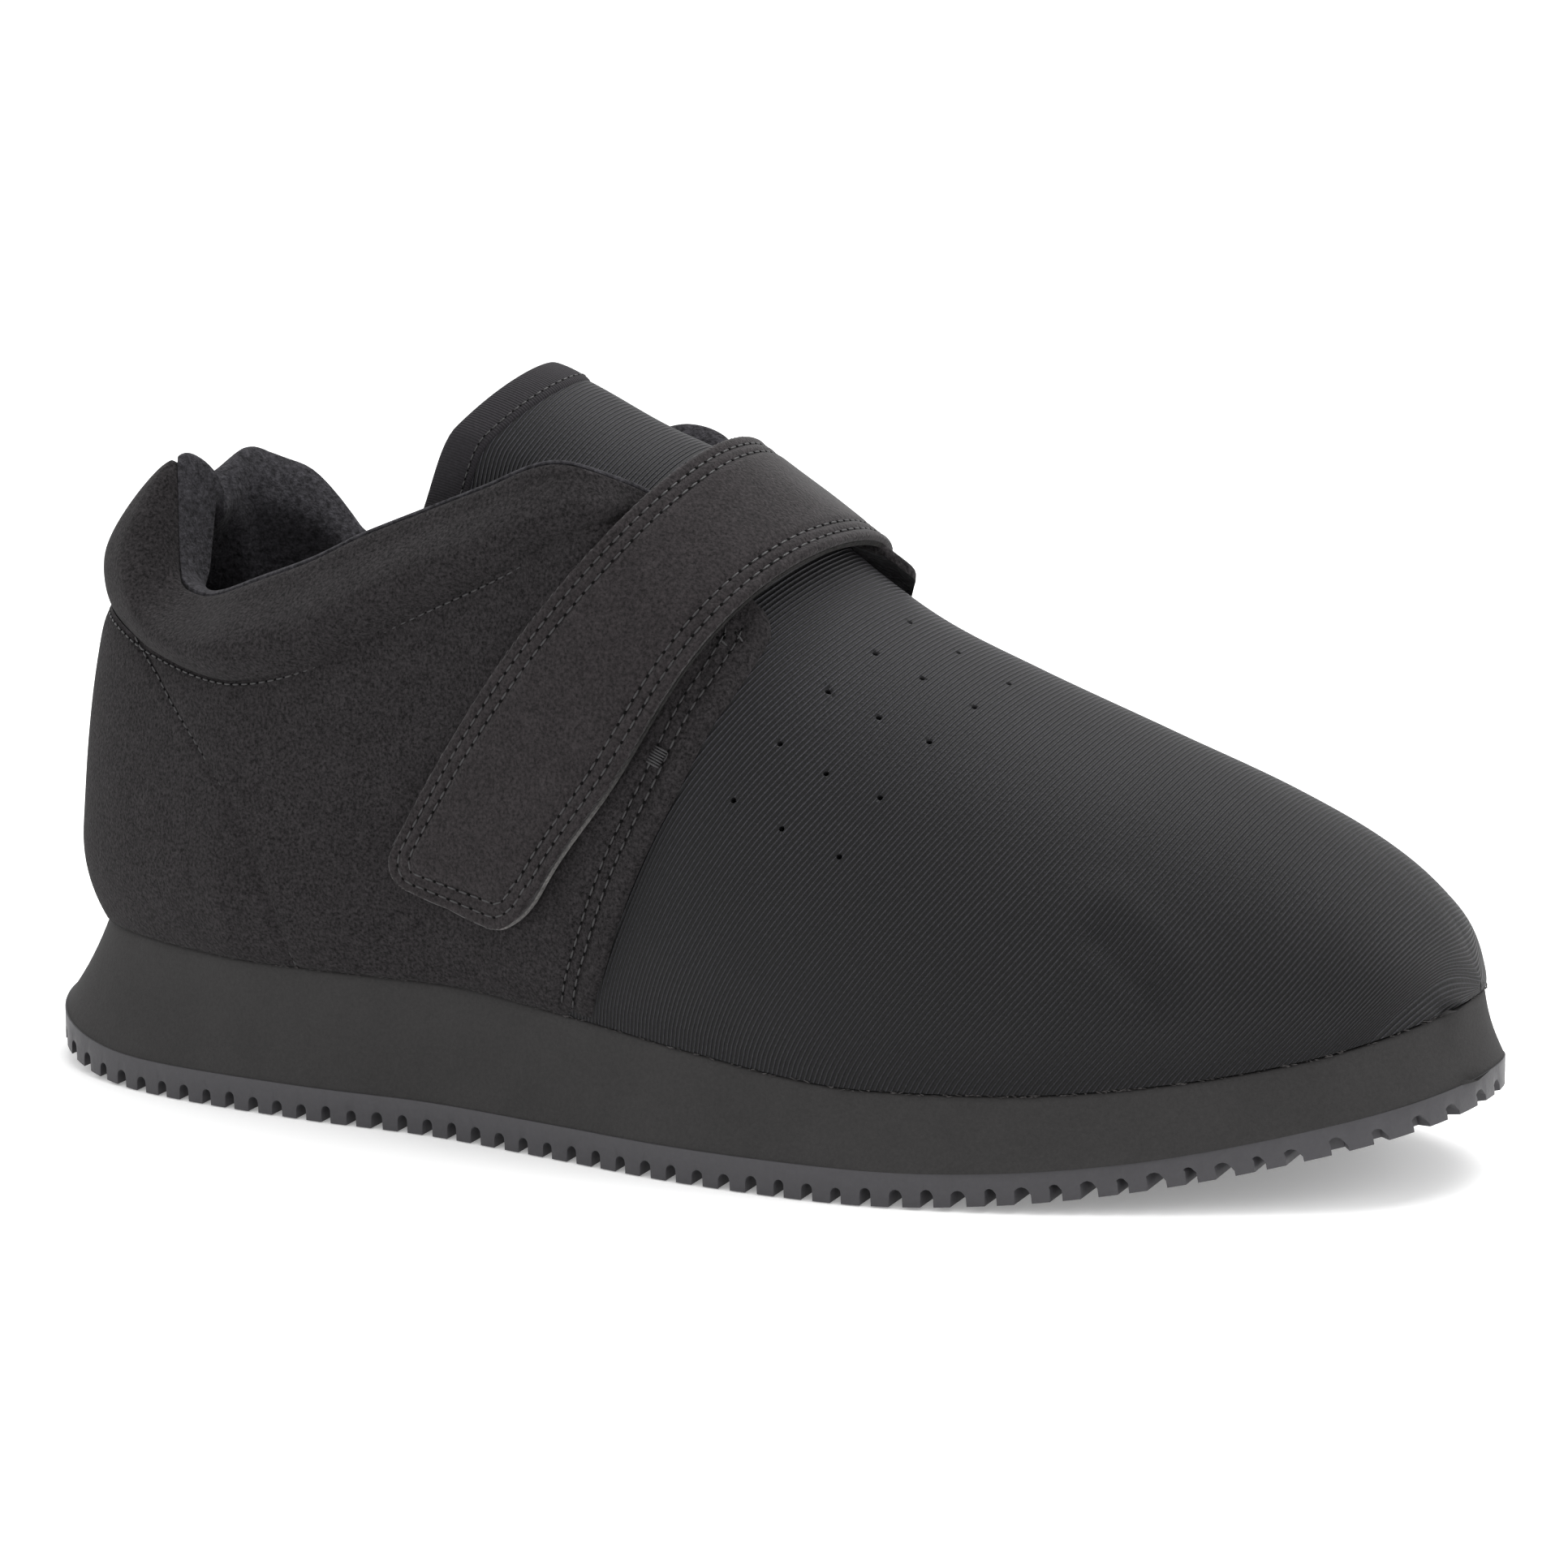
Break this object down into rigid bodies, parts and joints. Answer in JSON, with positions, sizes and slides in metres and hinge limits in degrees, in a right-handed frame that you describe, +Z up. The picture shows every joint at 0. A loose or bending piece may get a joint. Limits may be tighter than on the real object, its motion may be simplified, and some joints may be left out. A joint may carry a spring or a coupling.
{
  "type": "stretch shoe",
  "caption": "Right stretch shoe with ribbed elastic vamp and tongue, brushed padded quarters and collar, one wide hook-and-loop strap and a notched wedge sole.",
  "frame": {"origin": "middle of the sole's plan outline, on the floor", "axes": "+X towards the toe, +Y towards the medial side (the inner side of the right foot), +Z up"},
  "size_m": [0.2906, 0.101, 0.1424],
  "materials": {
    "rubber": "matt black rubber, notched tread",
    "foam": "matt black foam with a fine grain",
    "footbed_cloth": "matt black cloth",
    "brushed_cloth": "brushed black stretch cloth; ribbed over the vamp",
    "collar_cloth": "brushed black cloth over padding, terry lining",
    "ribbed_cloth": "black elastic cloth with fine ribs",
    "binding": "smooth black stretch binding",
    "microsuede": "black microsuede with stitched edges",
    "ring_plastic": "black plastic",
    "tab_microsuede": "black microsuede"
  },
  "bodies": {
    "root": {"outsole": "rubber", "midsole": "foam", "insole": "footbed_cloth", "upper": "brushed_cloth", "collar": "collar_cloth", "tongue": "ribbed_cloth", "tongue_binding": "binding", "strap": "microsuede", "strap_ring": "ring_plastic", "ring_tab": "tab_microsuede"}
  },
  "joints": []
}
